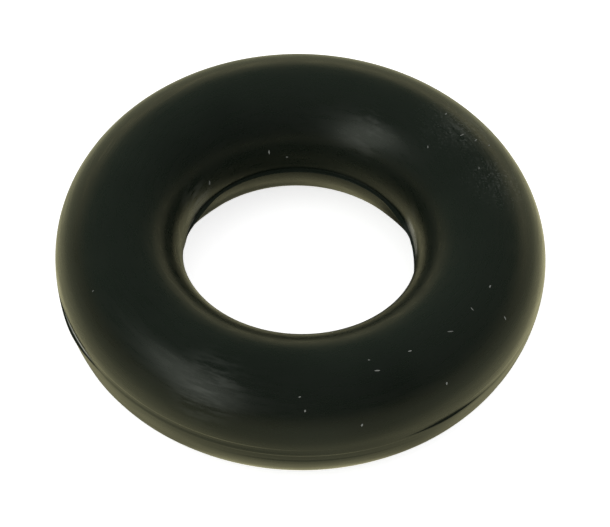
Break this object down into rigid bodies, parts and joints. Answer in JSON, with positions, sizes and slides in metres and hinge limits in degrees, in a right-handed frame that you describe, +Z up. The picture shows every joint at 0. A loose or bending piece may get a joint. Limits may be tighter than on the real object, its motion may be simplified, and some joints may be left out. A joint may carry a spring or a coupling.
{
  "type": "o-ring",
  "caption": "Small round-section rubber sealing ring, moulded in one piece, with a thin band of flash round its inner and outer waist.",
  "frame": {"origin": "centre of the ring, in the plane where the two halves of the mould met", "axes": "+Z up along the bore's axis, with the ring lying flat; X and Y lie in the ring's plane and are alike"},
  "size_m": [0.0094, 0.0094, 0.0024],
  "materials": {
    "rubber": "moulded black rubber with a faint green cast, satin, slightly dusty"
  },
  "bodies": {
    "root": {"o_ring": "rubber"}
  },
  "joints": []
}
